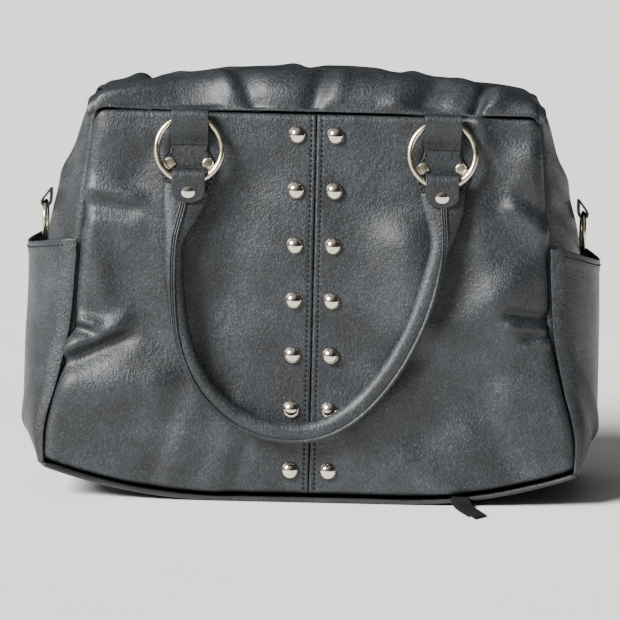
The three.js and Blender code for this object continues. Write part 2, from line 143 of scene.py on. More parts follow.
panel_half_width = profile([(0, 176), (45, 176.5), (80, 167), (115, 159), (150, 156), (205, 152),
                            (258, 147)])
gusset_half_width = profile([(0, 171), (22, 177), (45, 182), (120, 181), (176, 179), (226, 164),
                             (252, 156), (268, 147)])


def half_depth(z):
    return lerp(BASE_DEPTH, TOP_DEPTH, z / TOP_SEAM_Z)


def base_height(x):
    reach = np.maximum(np.abs(x) - FLAT_BASE, 0) / (panel_half_width(0.0) - FLAT_BASE)
    return CORNER_LIFT * reach * reach


def top_edge(x):
    past = np.clip(np.abs(x) - (panel_half_width(TOP_SEAM_Z) - CORNER_RADIUS), 0, CORNER_RADIUS)
    return TOP_SEAM_Z - CORNER_RADIUS + np.sqrt(CORNER_RADIUS ** 2 - past ** 2)


def front_depth(x, z):
    across = np.minimum(np.abs(x) / panel_half_width(z), 1)
    up = 2 * z / TOP_SEAM_Z - 1
    return -half_depth(z) - BULGE * (1 - across ** 2.5) * (1 - up * up)


def front_point(x, z, stand_off=0.0):
    """Points on the smooth front, or standing off it, as an array of (x, y, z)."""
    x, z = np.broadcast_arrays(np.asarray(x, float), np.asarray(z, float))
    step = 1 * MM
    across = (front_depth(x + step, z) - front_depth(x - step, z)) / (2 * step)
    up = (front_depth(x, z + step) - front_depth(x, z - step)) / (2 * step)
    normal = np.stack([across, -np.ones_like(x), up], axis=-1)
    normal /= np.linalg.norm(normal, axis=-1, keepdims=True)
    return np.stack([x, front_depth(x, z), z], axis=-1) + normal * np.asarray(stand_off)[..., None]


def front_normal(x, z):
    outward = front_point(x, z, 1 * MM) - front_point(x, z, 0.0)
    return Vector(outward / np.linalg.norm(outward))


# ---- folds in the leather


def along_and_across(x, z, start, end, width):
    """Where (x, z) lies: along the line from start (0) to end (1), and to its left, in widths."""
    (x0, z0), (x1, z1) = start, end
    length = math.hypot(x1 - x0, z1 - z0)
    along_x, along_z = (x1 - x0) / length, (z1 - z0) / length
    along = ((x / MM - x0) * along_x + (z / MM - z0) * along_z) / length
    across = ((x / MM - x0) * -along_z + (z / MM - z0) * along_x) / width
    return along, across


def ridge(x, z, start, end, width, height):
    """A soft ridge (or a valley, if height is negative) from start to end, fading at both ends."""
    along, across = along_and_across(x, z, start, end, width)
    fade = smooth((along + 0.25) / 0.4) * smooth((1.25 - along) / 0.4)
    return height * MM * fade * np.exp(-across * across)


def crease(x, z, start, end, width, height):
    """A fold with a raised lip on its left (walking from start to end) and a hollow on its right."""
    along, across = along_and_across(x, z, start, end, width)
    fade = smooth((along + 0.2) / 0.35) * smooth((1.2 - along) / 0.35)
    return height * MM * fade * across * np.exp(0.5 - across * across)


# Each fold: kind, start (x, z), end (x, z), width and height, all in millimetres on the front.
FRONT_FOLDS = [
    (crease, (-168, 118), (-142, 113), 4.5, 5.5),
    (crease, (-172, 90), (-122, 113), 8, 6.5),
    (ridge, (-164, 72), (-96, 80), 18, 6.0),
    (crease, (-160, 201), (-116, 196), 8, 4.2),
    (ridge, (-150, 187), (-116, 184), 8, 2.2),
    (ridge, (-148, 180), (-138, 132), 9, 2.2),
    (ridge, (-122, 156), (-100, 90), 15, -3.2),
    (ridge, (-66, 4), (-46, 66), 9, 1.8),
    (ridge, (-50, 6), (-38, 60), 6, -1.2),
    (ridge, (-92, 16), (-70, 84), 9, 1.6),
    (ridge, (-104, 10), (-90, 70), 8, -1.2),
    (crease, (128, 126), (164, 120), 6, -5.5),
    (crease, (138, 111), (164, 113), 4, -3.0),
    (ridge, (30, 44), (128, 150), 14, 4.0),
    (ridge, (66, 40), (146, 114), 16, -3.6),
    (ridge, (106, 206), (118, 130), 13, 3.0),
    (ridge, (140, 236), (136, 196), 12, 4.2),
    (crease, (130, 204), (158, 184), 8, -4.0),
    (ridge, (112, 236), (104, 262), 7, 3.0),
    (ridge, (-110, 236), (-140, 244), 9, 2.0),
    (ridge, (60, 184), (68, 112), 20, 8.5),
    (ridge, (134, 158), (126, 100), 14, 4.4),
    (ridge, (-40, 228), (-64, 120), 20, -2.8),
    (ridge, (-112, 236), (-120, 206), 12, -3.0),
    (ridge, (100, 4), (60, 34), 9, 1.8),
    (ridge, (140, 20), (110, 70), 12, -2.4),
]

BACK_FOLDS = [
    (crease, (-160, 130), (-120, 118), 8, 3.0),
    (ridge, (-120, 60), (-30, 110), 15, 2.2),
    (crease, (124, 108), (160, 120), 7, -3.0),
    (ridge, (40, 40), (120, 130), 14, 2.4),
    (ridge, (-20, 220), (10, 60), 22, -1.6),
    (ridge, (80, 230), (110, 160), 12, 1.8),
    (crease, (-156, 206), (-118, 196), 8, 2.2),
]


def folded(x, z, folds):
    return sum(kind(x, z, start, end, width, height) for kind, start, end, width, height in folds)


def rolled(distance, radius):
    """How far a panel turns in where it comes within radius of its edge."""
    near = np.clip(radius - distance, 0, radius)
    return radius - np.sqrt(np.maximum(radius ** 2 - near ** 2, 0))


# ---- meshes


def mirrored(points, turn):
    """Points of the front or the right side kept there (turn is 1) or turned half round (-1)."""
    return points * np.array([turn, turn, 1])


def attach(obj, body, node=None):
    """Says which body a piece moves with and which CAD node it replaces."""
    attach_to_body(obj, body)
    if node:
        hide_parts(node)


def add_object(name, vertices, faces, material, smooth_shaded=True):
    mesh = bpy.data.meshes.new(name)
    mesh.from_pydata([tuple(v) for v in vertices], [], faces)
    mesh.validate()
    mesh.update()
    for polygon in mesh.polygons:
        polygon.use_smooth = smooth_shaded
    obj = bpy.data.objects.new(name, mesh)
    bpy.context.scene.collection.objects.link(obj)
    mesh.materials.append(material)
    return obj


def grid_faces(rows, columns, around=False):
    faces = []
    for r in range(rows - 1):
        for c in range(columns if around else columns - 1):
            d = (c + 1) % columns
            faces.append((r * columns + c, r * columns + d, (r + 1) * columns + d, (r + 1) * columns + c))
    return faces


def tube_faces(rows, sides):
    """A grid that closes around, with a cap at each end."""
    faces = grid_faces(rows, sides, around=True)
    faces.append(tuple(reversed(range(sides))))
    faces.append(tuple((rows - 1) * sides + i for i in range(sides)))
    return faces


def leaf(name, points, material, thickness=LEATHER, edge=0.5 * MM):
    """A sheet through a grid of points (its outer face), thick inwards, with softened edges."""
    rows, columns = points.shape[:2]
    obj = add_object(name, points.reshape(-1, 3), grid_faces(rows, columns), material)
    solid = obj.modifiers.new("thickness", "SOLIDIFY")
    solid.thickness = thickness
    solid.offset = -1
    solid.use_even_offset = True
    if edge:
        soft = obj.modifiers.new("edge", "BEVEL")
        soft.width = edge
        soft.segments = 2
        soft.limit_method = "ANGLE"
        soft.angle_limit = math.radians(50)
    return obj


def on_panel(local, axis, turn):
    """Places (across, outward, up) about an axis on the leaning front (turn is 1) or back (-1)."""
    cos, sin = math.cos(PANEL_LEAN), math.sin(PANEL_LEAN)
    across, outward, up = local[..., 0], local[..., 1], local[..., 2]
    y = -(outward * cos + up * sin)
    z = up * cos - outward * sin
    return mirrored(np.stack([across, y, z], axis=-1), turn) + np.asarray(axis)


def revolve(name, outline, centre, outward, material, segments=40):
    """A lathed piece: outline is (radius, height) pairs from its foot to its crown."""
    turn = Vector((0, 0, 1)).rotation_difference(Vector(outward)).to_matrix()
    vertices = []
    for radius, height in outline[:-1]:
        for i in range(segments):
            angle = 2 * math.pi * i / segments
            local = Vector((radius * math.cos(angle), radius * math.sin(angle), height))
            vertices.append(turn @ local + Vector(centre))
    faces = grid_faces(len(outline) - 1, segments, around=True)
    crown = len(vertices)
    vertices.append(turn @ Vector((0, 0, outline[-1][1])) + Vector(centre))
    last = (len(outline) - 2) * segments
    faces += [(last + i, last + (i + 1) % segments, crown) for i in range(segments)]
    faces.append(tuple(reversed(range(segments))))
    return add_object(name, vertices, faces, material)


def torus(name, centre, radius, wire, across, up, material, segments=96, sides=20):
    """A ring in the plane of across and up."""
    across, up = Vector(across).normalized(), Vector(up).normalized()
    out = across.cross(up)
    vertices = []
    for i in range(segments):
        angle = 2 * math.pi * i / segments
        radial = across * math.cos(angle) + up * math.sin(angle)
        for j in range(sides):
            turn = 2 * math.pi * j / sides
            reach = radius + wire * math.cos(turn)
            vertices.append(Vector(centre) + radial * reach + out * wire * math.sin(turn))
    faces = []
    for i in range(segments):
        for j in range(sides):
            n, m = (i + 1) % segments, (j + 1) % sides
            faces.append((i * sides + j, n * sides + j, n * sides + m, i * sides + m))
    return add_object(name, vertices, faces, material)


def stitches(name, places, directions, normal, material):
    """A row of sewn stitches: short, fat threads that dive into the leather at both ends."""
    length, width = STITCH_LENGTH, STITCH_WIDTH
    sides, stations = 6, 5
    vertices, faces = [], []
    normal = Vector(normal).normalized()
    for place, along in zip(places, directions):
        place, along = Vector(place), Vector(along).normalized()
        side = along.cross(normal).normalized()
        first = len(vertices)
        for s in range(stations):
            t = s / (stations - 1) * 2 - 1
            swell = math.sqrt(max(1 - t * t, 0.04))
            centre = place + along * (t * length / 2) - normal * (0.35 * width * t * t)
            for k in range(sides):
                angle = 2 * math.pi * k / sides
                ray = side * math.cos(angle) + normal * math.sin(angle)
                vertices.append(centre + ray * width * swell)
        faces += [tuple(first + i for i in face) for face in tube_faces(stations, sides)]
    return add_object(name, vertices, faces, material)


def spaced(path, pitch):
    """Evenly spaced places along a polyline, with the direction at each."""
    path = np.asarray(path, float)
    steps = np.linalg.norm(np.diff(path, axis=0), axis=1)
    run = np.concatenate([[0], np.cumsum(steps)])
    count = max(int(run[-1] / pitch), 1)
    at = (np.arange(count) + 0.5) * run[-1] / count
    step = 0.2 * MM
    behind, places, ahead = (np.stack([np.interp(at + shift, run, path[:, k]) for k in range(3)], axis=-1)
                             for shift in (-step, 0, step))
    return places, ahead - behind


def sew(name, path, normal, sink=0.0):
    """A row of dark stitches along a path on the bag, sunk into the leather against the normal."""
    places, directions = spaced(path, STITCH_PITCH)
    normal = Vector(normal)
    places = [Vector(p) - normal.normalized() * sink for p in places]
    row = stitches(name, places, directions, normal, THREAD)
    attach(row, "bag")


# ---- materials


def new_material(name):
    """A material with its node tree, its shader and the object's own coordinates."""
    material = bpy.data.materials.new(name)
    material.use_nodes = True
    tree = material.node_tree
    place = tree.nodes.new("ShaderNodeTexCoord").outputs["Object"]
    return material, tree, tree.nodes["Principled BSDF"], place


def texture(tree, kind, scale, coordinates, **settings):
    node = tree.nodes.new(f"ShaderNodeTex{kind}")
    node.inputs["Scale"].default_value = scale
    for key, value in settings.items():
        if key in node.inputs:
            node.inputs[key].default_value = value
        else:
            setattr(node, key, value)
    tree.links.new(coordinates, node.inputs["Vector"])
    return node


def ramp(tree, source, stops):
    """A colour that runs through (position, grey or colour) stops as its source goes from 0 to 1."""
    node = tree.nodes.new("ShaderNodeValToRGB")
    elements = node.color_ramp.elements
    while len(elements) < len(stops):
        elements.new(0.5)
    for element, (position, value) in zip(elements, stops):
        element.position = position
        colour = value if isinstance(value, tuple) else (value, value, value)
        element.color = (*colour, 1)
    tree.links.new(source, node.inputs["Fac"])
    return node.outputs["Color"]


def mix(tree, mode, factor, first, second):
    node = tree.nodes.new("ShaderNodeMix")
    node.data_type = "RGBA"
    node.blend_type = mode
    for key, value in (("Factor", factor), (6, first), (7, second)):  # 6 and 7 are the two colours
        if isinstance(value, bpy.types.NodeSocket):
            tree.links.new(value, node.inputs[key])
        elif isinstance(value, tuple):
            node.inputs[key].default_value = (*value, 1)
        else:
            node.inputs[key].default_value = value
    return node.outputs[2]


def bump(tree, height, strength, distance, before=None):
    node = tree.nodes.new("ShaderNodeBump")
    node.inputs["Strength"].default_value = strength
    node.inputs["Distance"].default_value = distance
    tree.links.new(height, node.inputs["Height"])
    if before is not None:
        tree.links.new(before, node.inputs["Normal"])
    return node.outputs["Normal"]


def scaled(colour, factor):
    return tuple(c * factor for c in colour)


def leather(name, tint=1.0, grain=1.0):
    """Pebbled faux leather: slate grey, with fine creases, rubbed flecks, painted shade in the hollows
    between the pebbles and a soft shine.
    """
    material, tree, shader, place = new_material(name)
    stretch = tree.nodes.new("ShaderNodeMapping")
    stretch.inputs["Scale"].default_value = (1.25, 1.1, 1.0)
    tree.links.new(place, stretch.inputs["Vector"])
    wide = stretch.outputs["Vector"]
    warp = texture(tree, "Noise", 120, wide, Detail=3.0)
    bend = tree.nodes.new("ShaderNodeVectorMath")
    bend.operation = "MULTIPLY_ADD"
    tree.links.new(warp.outputs["Color"], bend.inputs[0])
    bend.inputs[1].default_value = (0.006, 0.006, 0.006)
    tree.links.new(wide, bend.inputs[2])
    where = bend.outputs["Vector"]
    pebble = texture(tree, "Voronoi", 620, where, feature="SMOOTH_F1", Smoothness=0.3).outputs["Distance"]
    wrinkle = texture(tree, "Noise", 300, where, Detail=6.0, Roughness=0.7).outputs["Fac"]
    fine = texture(tree, "Noise", 900, place, Detail=4.0, Roughness=0.7).outputs["Fac"]
    mottle = texture(tree, "Noise", 30, place, Detail=7.0, Roughness=0.6).outputs["Fac"]
    clouds = texture(tree, "Noise", 7, place, Detail=2.0).outputs["Fac"]
    flecks = texture(tree, "Noise", 560, where, Detail=4.0, Roughness=0.8).outputs["Fac"]
    dark = scaled((0.0085, 0.0098, 0.0113), tint)
    middle = scaled((0.0185, 0.0213, 0.0244), tint)
    light = scaled((0.038, 0.0436, 0.0495), tint)
    base = ramp(tree, mottle, [(0.32, dark), (0.5, middle), (0.7, light)])
    shade = ramp(tree, clouds, [(0.3, 0.85), (0.7, 1.15)])
    colour = mix(tree, "MULTIPLY", 1.0, base, shade)
    # Painted shade: the colour is lighter on the pebbles' tops and darker in the hollows between them,
    # following the grain's bump
    pits = ramp(tree, pebble, [(0.1, 1.35), (0.6, 0.45)])
    colour = mix(tree, "MULTIPLY", 0.8, colour, pits)
    rubbed = ramp(tree, flecks, [(0.53, 0.0), (0.68, 1.0)])
    worn = mix(tree, "MIX", rubbed, (0.0, 0.0, 0.0), scaled(light, 1.3))
    colour = mix(tree, "ADD", 0.6, colour, worn)
    tree.links.new(colour, shader.inputs["Base Color"])
    rough = ramp(tree, mottle, [(0.3, 0.52), (0.7, 0.40)])
    tree.links.new(rough, shader.inputs["Roughness"])
    shader.inputs["Specular IOR Level"].default_value = 0.4
    shader.inputs["Coat Weight"].default_value = 0.1
    shader.inputs["Coat Roughness"].default_value = 0.35
    normal = bump(tree, wrinkle, 0.55 * grain, 0.0008)
    normal = bump(tree, pebble, 0.45 * grain, -0.0005, normal)
    normal = bump(tree, fine, 0.2 * grain, 0.0002, normal)
    tree.links.new(normal, shader.inputs["Normal"])
    return material


def nickel(name, roughness, colour):
    """Warm plated metal with faint smears and pits."""
    material, tree, shader, place = new_material(name)
    smear = texture(tree, "Noise", 160, place, Detail=4.0).outputs["Fac"]
    tone = ramp(tree, smear, [(0.35, scaled(colour, 0.9)), (0.65, colour)])
    tree.links.new(tone, shader.inputs["Base Color"])
    rough = ramp(tree, smear, [(0.3, roughness * 0.75), (0.7, roughness * 1.35)])
    tree.links.new(rough, shader.inputs["Roughness"])
    shader.inputs["Metallic"].default_value = 1.0
    scratch = texture(tree, "Noise", 900, place, Detail=2.0).outputs["Fac"]
    tree.links.new(bump(tree, scratch, 0.06, 0.0002), shader.inputs["Normal"])
    return material


def cloth(name, colour, threads=1400, sheen=0.25):
    """Plain woven cloth."""
    material, tree, shader, place = new_material(name)
    warp = texture(tree, "Wave", threads, place, bands_direction="Z", Distortion=0.4)
    weft = texture(tree, "Wave", threads, place, bands_direction="X", Distortion=0.4)
    weave = mix(tree, "MULTIPLY", 1.0, warp.outputs["Color"], weft.outputs["Color"])
    fuzz = texture(tree, "Noise", 70, place, Detail=5.0).outputs["Fac"]
    tone = ramp(tree, fuzz, [(0.3, colour), (0.75, scaled(colour, 1.8))])
    tree.links.new(mix(tree, "MULTIPLY", 0.4, tone, weave), shader.inputs["Base Color"])
    shader.inputs["Roughness"].default_value = 0.85
    shader.inputs["Specular IOR Level"].default_value = 0.25
    shader.inputs["Sheen Weight"].default_value = sheen
    tree.links.new(bump(tree, weave, 0.35, 0.0003), shader.inputs["Normal"])
    return material


def thread(name, colour):
    """Twisted sewing thread."""
    material, tree, shader, place = new_material(name)
    twist = texture(tree, "Noise", 2600, place, Detail=1.0).outputs["Fac"]
    tone = ramp(tree, twist, [(0.3, scaled(colour, 0.6)), (0.7, colour)])
    tree.links.new(tone, shader.inputs["Base Color"])
    shader.inputs["Roughness"].default_value = 0.8
    shader.inputs["Specular IOR Level"].default_value = 0.2
    tree.links.new(bump(tree, twist, 0.4, 0.0002), shader.inputs["Normal"])
    return material


def pale_paint(name):
    """The plain pale floor that the bag stands on."""
    material, tree, shader, place = new_material(name)
    tooth = texture(tree, "Noise", 5, place, Detail=2.0).outputs["Fac"]
    tone = ramp(tree, tooth, [(0.3, (0.80, 0.795, 0.78)), (0.7, (0.82, 0.815, 0.80))])
    tree.links.new(tone, shader.inputs["Base Color"])
    shader.inputs["Roughness"].default_value = 0.8
    return material


BODY_LEATHER = leather("slate_leather")
TRIM_LEATHER = leather("slate_leather_trim", tint=0.72, grain=0.8)
POLISHED = nickel("polished_nickel", 0.12, (0.78, 0.70, 0.60))
SATIN = nickel("satin_nickel", 0.24, (0.70, 0.62, 0.48))
LINING = cloth("lining_cloth", (0.02, 0.02, 0.023))
ZIP_CLOTH = cloth("zip_cloth", (0.012, 0.012, 0.014), threads=2000)
RIBBON = cloth("black_ribbon", (0.004, 0.004, 0.004), threads=3600, sheen=0.0)
THREAD = thread("dark_thread", (0.006, 0.006, 0.007))

# ---- panels


def spread(count, power=0.5):
    """Places from 0 to 1, closer together near both ends."""
    t = np.linspace(0, 1, count)
    return lerp(t, 0.5 - 0.5 * np.cos(math.pi * t), power)


def panel_points(across_from, across_to, columns, rows, folds, seed, centre_seam=True):
    """The outer face of a front or back panel between two places across it (-1 to 1)."""
    u = lerp(across_from, across_to, spread(columns))[None, :]
    v = spread(rows)[:, None]
    foot = base_height(u * panel_half_width(0.0)) + BASE_THICKNESS + 3 * GAP
    z = foot + v * (top_edge(u * panel_half_width(TOP_SEAM_Z)) - foot)
    side_pull = edge_pull(z, np.sign(across_from + across_to)) * np.abs(u) ** 6
    x = u * panel_half_width(z) + side_pull
    points = front_point(x, z)
    to_side = np.abs(np.abs(u) - 1) * panel_half_width(z)
    drape = wavy(points, 0.08, seed) * 2.4 * MM + wavy(points, 0.026, seed + 3) * 0.6 * MM
    inside = smooth(to_side / (14 * MM)) * 0.7 + 0.3
    out = folded(x, z, folds) + drape * inside
    turn_in = rolled(to_side, 9 * MM) * 0.8 + rolled(v * TOP_SEAM_Z, 4 * MM) * 0.9
    turn_in = turn_in + rolled((1 - v) * TOP_SEAM_Z, 5 * MM) * 0.9
    if centre_seam:
        turn_in = turn_in + rolled(np.abs(x), 1.6 * MM) * 0.9
        turn_in = turn_in + 0.35 * MM * hump(np.abs(x), SEAM_TO_STITCH, 0.7 * MM)
        out = out * smooth(np.abs(x) / (22 * MM)) ** 0.5
    points[..., 1] -= out - turn_in
    return points


def edge_pull(z, side):
    """The front's side edges pinch in and out where the folds reach them."""
    if side < 0:
        pull = 2.2 * hump(z / MM, 118, 7) - 3.0 * hump(z / MM, 100, 7)
        return (pull + 1.8 * hump(z / MM, 186, 8) - 1.2 * hump(z / MM, 202, 5)) * MM
    return (2.0 * hump(z / MM, 186, 12) - 2.4 * hump(z / MM, 118, 8)) * MM


def make_panels():
    for name, start, end in (("front_panel_left", -1.0, -0.0012), ("front_panel_right", 0.0012, 1.0)):
        points = panel_points(start, end, 110, 150, FRONT_FOLDS, 1)
        panel = leaf(f"{name}_leather", points, BODY_LEATHER, edge=0)
        attach(panel, "bag", name)
    points = panel_points(-1.0, 1.0, 180, 130, BACK_FOLDS, 5, centre_seam=False)
    back = leaf("back_panel_leather", mirrored(points, -1), BODY_LEATHER, edge=0)
    attach(back, "bag", "back_panel")


def sew_centre_seam():
    z = np.linspace(base_height(0.0) + 8 * MM, TOP_SEAM_Z - 3 * MM, 120)
    for side, label in ((-1, "left"), (1, "right")):
        x = np.full_like(z, side * SEAM_TO_STITCH)
        sew(f"centre_stitches_{label}", front_point(x, z), (0, -1, 0), sink=0.15 * MM)


# ---- gussets and pockets


GUSSET_SEAM_DEPTH = 5.5 * MM  # how far behind the front's face the side gusset begins
GUSSET_TOP_Z = 267 * MM

# Placed by depth, front to back, and height.
GUSSET_FOLDS = [
    (ridge, (-60, 236), (10, 206), 9, 1.6),
    (ridge, (52, 240), (0, 214), 8, 1.4),
    (ridge, (-54, 200), (-14, 180), 7, -1.8),
]
POCKET_FOLDS = [
    (ridge, (-66, 96), (-20, 40), 7, 2.2),
    (ridge, (-60, 70), (-24, 30), 6, -2.0),
    (ridge, (60, 90), (20, 36), 8, 2.0),
]


def gusset_point(q, z, stand_off=0.0):
    """Points on the right gusset; q runs from -1 at the front seam to 1 at the back."""
    q, z = np.broadcast_arrays(np.asarray(q, float), np.asarray(z, float))
    width = panel_half_width(np.minimum(z, TOP_SEAM_Z))
    swell = (gusset_half_width(z) - width) * arch(q) ** 0.7
    x = width + swell + stand_off
    return np.stack([x, q * (half_depth(z) - GUSSET_SEAM_DEPTH), z], axis=-1)


def make_gusset(side, label):
    q = np.linspace(-1, 1, 56)[None, :]
    v = np.linspace(0, 1, 100)[:, None]
    foot = float(base_height(panel_half_width(0.0))) + BASE_THICKNESS + 0.5 * MM
    top = lerp(TOP_SEAM_Z - 2 * MM, GUSSET_TOP_Z, arch(q) ** 0.6)
    z = foot + v * (top - foot)
    points = gusset_point(q, z)
    body = wavy(points, 0.05, 11 + side) * 1.5 * MM + wavy(points, 0.018, 15 + side) * 0.4 * MM
    folds = folded(points[..., 1], z, GUSSET_FOLDS)
    points[..., 0] += (body + folds) * arch(q) ** 0.5 - rolled((1 - np.abs(q)) * BASE_DEPTH, 4 * MM) * 0.5
    gusset = leaf(f"side_gusset_{label}_leather", mirrored(points, side), BODY_LEATHER, edge=0)
    attach(gusset, "bag", f"side_gusset_{label}")


POCKET_TOP_Z = 172 * MM
POCKET_SAG = {-1: 8.5 * MM, 1: 13 * MM}  # how far the middle of each pocket's edge hangs
POCKET_FLOOR_Z = 22 * MM
POCKET_ROOM = 10 * MM
POCKET_HEM = 9 * MM


def pocket_points(q, v, side):
    z = POCKET_FLOOR_Z + v * (POCKET_TOP_Z - POCKET_SAG[side] * arch(q) - POCKET_FLOOR_Z)
    opened = np.clip((z - POCKET_FLOOR_Z) / (26 * MM), 0, 1)
    pouch = POCKET_ROOM * arch(q) ** 0.6 * np.sin(opened * math.pi / 2)
    points = gusset_point(q * 0.985, z, LEATHER + 2 * GAP + pouch)
    points[..., 1] = q * (half_depth(z) - 1.5 * MM)
    body = wavy(points, 0.045, 21 + side) * 1.3 * MM
    folds = folded(points[..., 1], z, POCKET_FOLDS)
    points[..., 0] += (body + folds) * arch(q) ** 0.5 * smooth((1 - v) / 0.12 + 0.35)
    points[..., 0] -= rolled((1 - np.abs(q)) * BASE_DEPTH, 5 * MM) * 0.7
    return points


def make_pocket(side, label):
    q = np.linspace(-1, 1, 60)[None, :]
    v = np.linspace(0, 1, 90)[:, None]
    points = pocket_points(q, v, side)
    below_top = (1 - v) * (POCKET_TOP_Z - POCKET_FLOOR_Z)
    points[..., 0] += 0.5 * MM * smooth((POCKET_HEM - below_top) / (1 * MM))
    pocket = leaf(f"side_pocket_{label}_leather", mirrored(points, side), BODY_LEATHER, thickness=1.9 * MM)
    attach(pocket, "bag", f"side_pocket_{label}")
    path = pocket_points(np.linspace(-0.95, 0.95, 60), np.full(60, 0.972), side)
    path[:, 0] += 0.6 * MM
    sew(f"pocket_stitches_{label}", mirrored(path, side), (side, 0, 0), sink=0.1 * MM)


# ---- base, lining and ribbon


def make_base():
    """The base with a rolled edge that shows below the front."""
    section = []
    half, thick = BASE_DEPTH + 1.0 * MM, BASE_THICKNESS
    for corner, start in ((-1, 270), (1, 0)):
        for step in range(13):
            angle = math.radians(start + step * 15)
            section.append((corner * (half - thick / 2), thick / 2, angle))
    rings = []
    xs = lerp(-1, 1, spread(120)) * (panel_half_width(0.0) + 2 * MM)
    for x in xs:
        taper = 1 - 0.5 * smooth((abs(x) / (panel_half_width(0.0) + 2 * MM) - 0.985) / 0.015)
        ring = []
        for y, z, angle in section:
            out, down = math.sin(angle) * thick / 2 * taper, math.cos(angle) * thick / 2 * taper
            ring.append((x, y + out, base_height(x) + z - down))
        rings.append(ring)
    vertices = [p for ring in rings for p in ring]
    base = add_object("base_panel_leather", vertices, tube_faces(len(rings), len(section)), TRIM_LEATHER)
    attach(base, "bag", "base_panel")


LINING_SQUARENESS = 0.4  # 1 is an ellipse, less is closer to a rectangle
LINING_RIM_Z = 244 * MM


def make_lining():
    """An open cloth tub with soft vertical slack."""
    around = 96
    angle = np.linspace(0, 2 * math.pi, around, endpoint=False)[None, :]
    cos, sin = np.cos(angle), np.sin(angle)
    shape_x = np.sign(cos) * np.abs(cos) ** LINING_SQUARENESS
    shape_y = np.sign(sin) * np.abs(sin) ** LINING_SQUARENESS
    rings = []
    for inset in (0.02, 0.4, 0.75, 0.92):
        x = shape_x * (panel_half_width(0.0) - 14 * MM) * inset
        y = shape_y * (BASE_DEPTH - 14 * MM) * inset
        rings.append(np.stack([x, y, base_height(x) + BASE_THICKNESS + 2.6 * MM], axis=-1))
    for z in np.linspace(30 * MM, LINING_RIM_Z, 24):
        x = shape_x * (panel_half_width(z) - 7 * MM)
        y = shape_y * (half_depth(z) - 7 * MM)
        rings.append(np.stack([x, y, np.full_like(x, z)], axis=-1))
    points = np.concatenate(rings, axis=0)
    slack = 1.2 * MM * np.sin(angle * 26) * smooth((points[..., 2] - 20 * MM) / (60 * MM))
    points[..., 0] -= slack * np.sign(shape_x) * np.abs(shape_x) ** 3
    points[..., 1] -= slack * np.sign(shape_y) * np.abs(shape_y) ** 3
    faces = grid_faces(len(points), around, around=True)
    obj = add_object("lining_cloth_tub", points.reshape(-1, 3), faces, LINING)
    solid = obj.modifiers.new("thickness", "SOLIDIFY")
    solid.thickness = 0.8 * MM
    solid.offset = 0
    attach(obj, "bag", "lining")


RIBBON_WIDTH = 11.6 * MM
RIBBON_REACH = 38 * MM


def make_ribbon():
    """A doubled black ribbon from the base seam, lying forward on the floor."""
    low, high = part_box("base_ribbon")
    root_x = low[0] + RIBBON_WIDTH / 2
    root_y = high[1]
    across = np.linspace(-1, 1, 9)[None, :] * RIBBON_WIDTH / 2
    run = np.linspace(0, 1, 40)[:, None] * (RIBBON_REACH - 0.9 * across)
    layers = []
    for layer, short in ((0, 1.0), (1, 0.8)):
        z = 1.5 * MM + 5 * MM * np.exp(-run * short / (4 * MM)) - layer * 0.9 * MM + 0.0 * across
        x = root_x + across + run * short * 0.3 - layer * 0.8 * MM
        points = np.stack([x, root_y - run * short, z], axis=-1)
        strip = leaf(f"base_ribbon_layer_{layer + 1}", points[:, ::-1], RIBBON, thickness=0.6 * MM, edge=0)
        attach(strip, "bag")
        layers.append(strip)
    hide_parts("base_ribbon")
    return layers


# ---- zipped top


def zip_fall(x):
    return ZIP_ARC - np.sqrt(ZIP_ARC ** 2 - x ** 2)


def bezier(t, a, b, c, d):
    s = 1 - t
    return a * s ** 3 + 3 * b * s * s * t + 3 * c * s * t * t + d * t ** 3


TOP_FOLDS = [
    (ridge, (113, 44), (103, 2), 4, -5.0),
    (ridge, (124, 40), (113, 6), 7, 3.6),
    (ridge, (96, 44), (88, 10), 7, 2.0),
    (ridge, (6, 50), (-4, 8), 6, -3.4),
    (ridge, (18, 48), (12, 10), 7, 2.2),
    (ridge, (-54, 46), (-40, 8), 7, -3.6),
    (ridge, (-68, 42), (-56, 14), 7, 2.0),
    (ridge, (64, 40), (50, 6), 9, 2.0),
    (ridge, (80, 38), (70, 8), 6, -1.8),
    (ridge, (-140, 22), (-58, 26), 8, 2.0),
    (ridge, (-128, 7), (-70, 8), 7, -2.4),
]

# The rolled edge beside the zip, from the front: highest in the middle, dropping to the corners.
front_ridge = profile([(-150, 262), (-144, 265.5), (-118, 275), (-86, 281.5), (-53, 285.5), (-5, 288),
                       (34, 285.5), (73, 283), (110, 280), (141, 265), (150, 261)])

FLAP_HALF_WIDTH = 151 * MM
FLAP_END_FROM = 142 * MM  # where the rounded end begins
FLAP_END_DROP = 4 * MM
FLAP_SEAM_TO = 146 * MM  # how far out the flap follows the seam and the zip's arc


